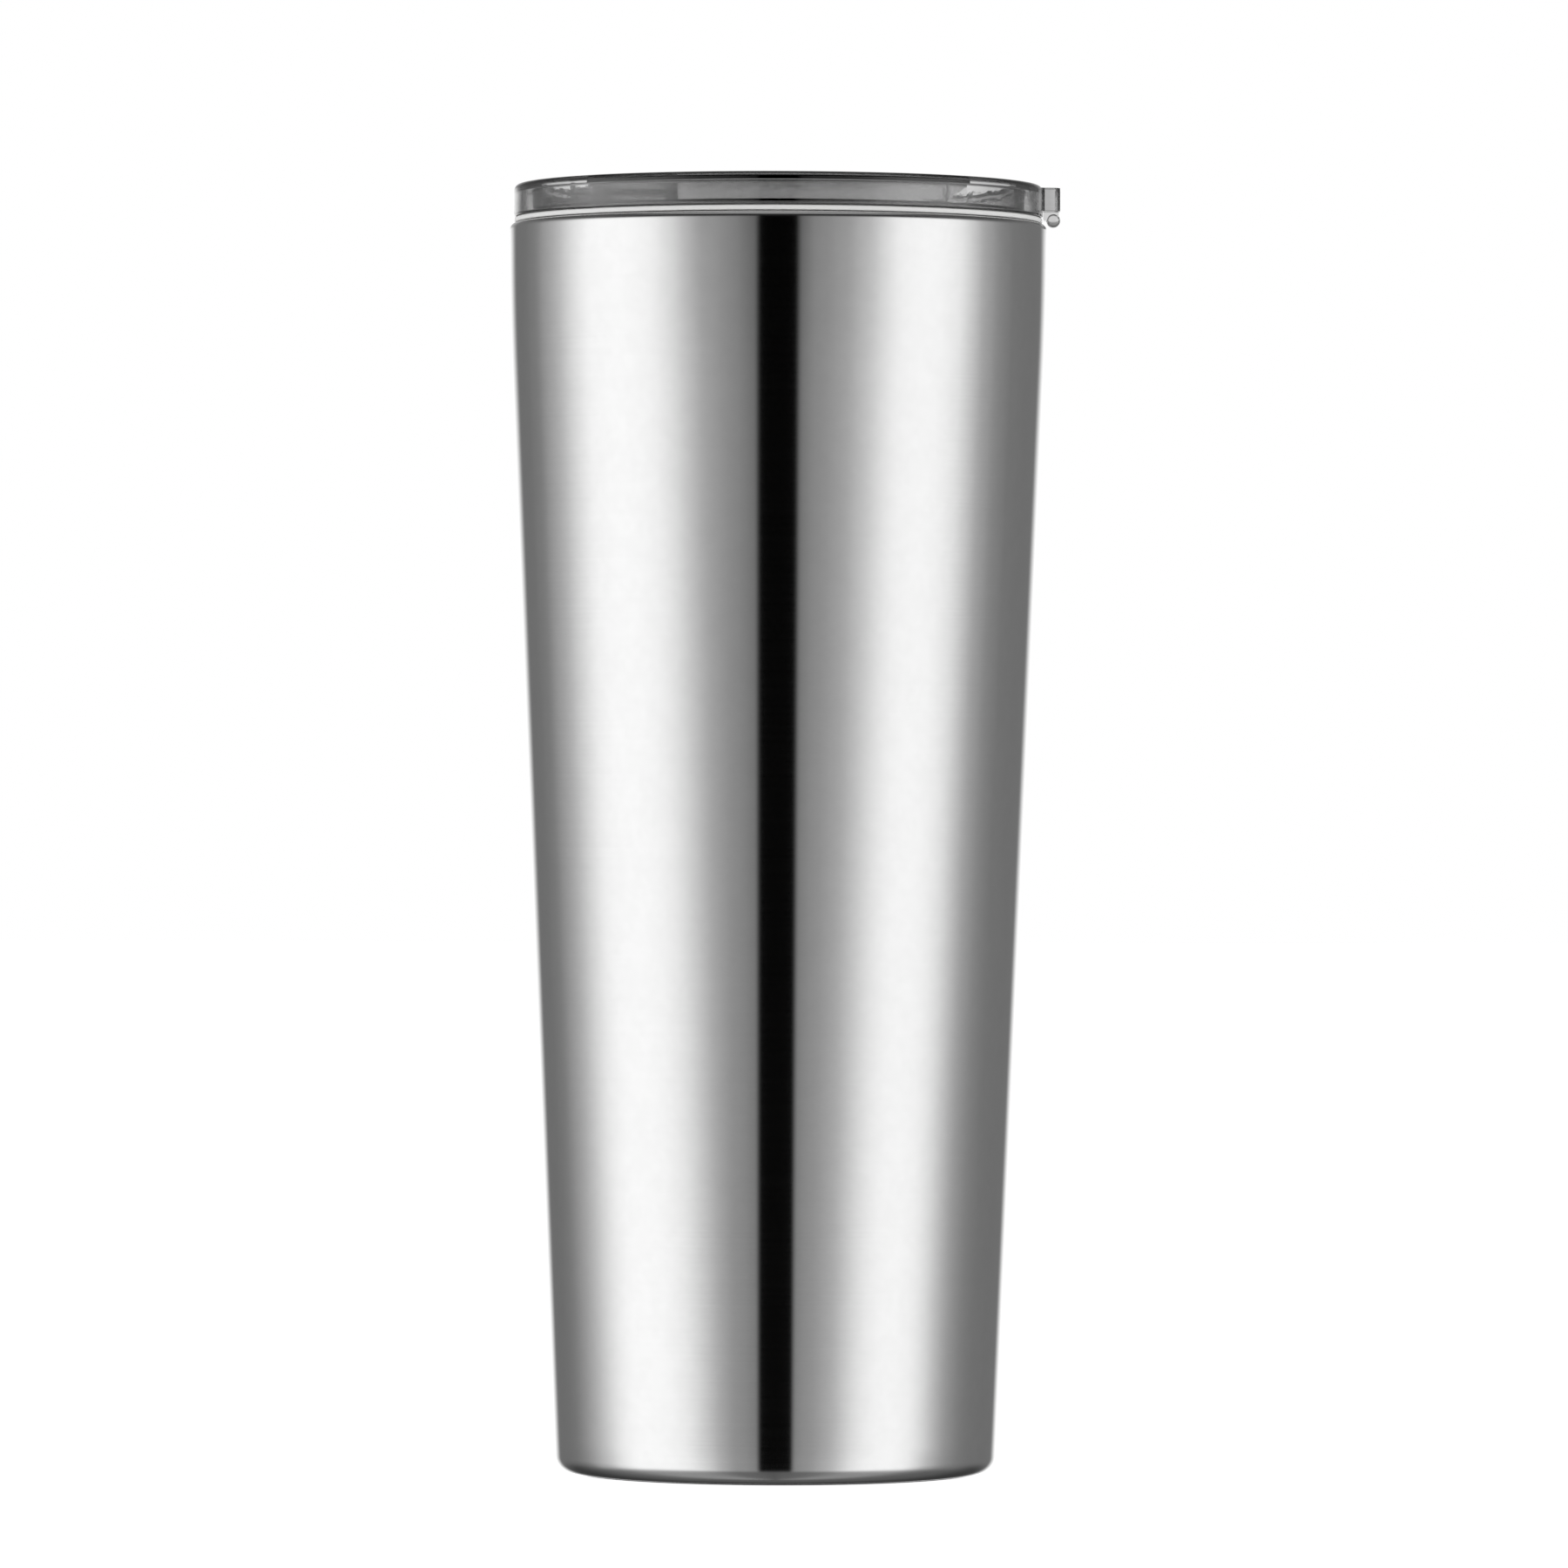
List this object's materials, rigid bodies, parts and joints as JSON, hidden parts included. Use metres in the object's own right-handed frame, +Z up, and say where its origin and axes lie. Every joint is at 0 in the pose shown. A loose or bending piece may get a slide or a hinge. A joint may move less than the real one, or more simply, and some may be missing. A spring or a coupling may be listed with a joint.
{
  "type": "insulated tumbler with lid",
  "caption": "Tall tapered vacuum-insulated steel tumbler with a clear press-in lid, a sliding cover over the drinking opening and a small pull tab.",
  "frame": {"origin": "centre of the flat underside that the tumbler stands on", "axes": "+Z up along the tumbler's axis, +X towards the lid's pull tab, -X towards the drinking opening"},
  "size_m": [0.0922, 0.09, 0.2155],
  "materials": {
    "brushed_steel": "fine brushing round the wall, near polished",
    "satin_steel": "satin, as pressed",
    "copper": "bright thin copper foil",
    "getter": "dull pressed powder",
    "seal_glass": "dark fused glass",
    "grey_silicone": "matt",
    "adhesive": "thin double-sided film",
    "clear_plastic": "clear and glossy, with a light smoky tint",
    "white_silicone": "white, matt"
  },
  "bodies": {
    "vessel": {"outer_wall": "brushed_steel", "base_cap": "satin_steel", "liner_wall": "satin_steel", "liner_base": "satin_steel", "copper_foil": "copper", "getter_clip": "satin_steel", "getter_pellet": "getter", "vacuum_seal_bead": "seal_glass", "base_pad": "grey_silicone", "base_pad_film": "adhesive"},
    "lid": {"lid_body": "clear_plastic", "lid_gasket": "white_silicone"},
    "slider": {"slider": "clear_plastic", "slider_seal": "white_silicone"}
  },
  "joints": [
    {"name": "lid_lift", "type": "slide", "parent": "vessel", "child": "lid", "axis": [0, 0, 1], "range_m": [0, 0.03]},
    {"name": "slider_slide", "type": "slide", "parent": "lid", "child": "slider", "axis": [1, 0, 0], "range_m": [0, 0.0085]}
  ]
}
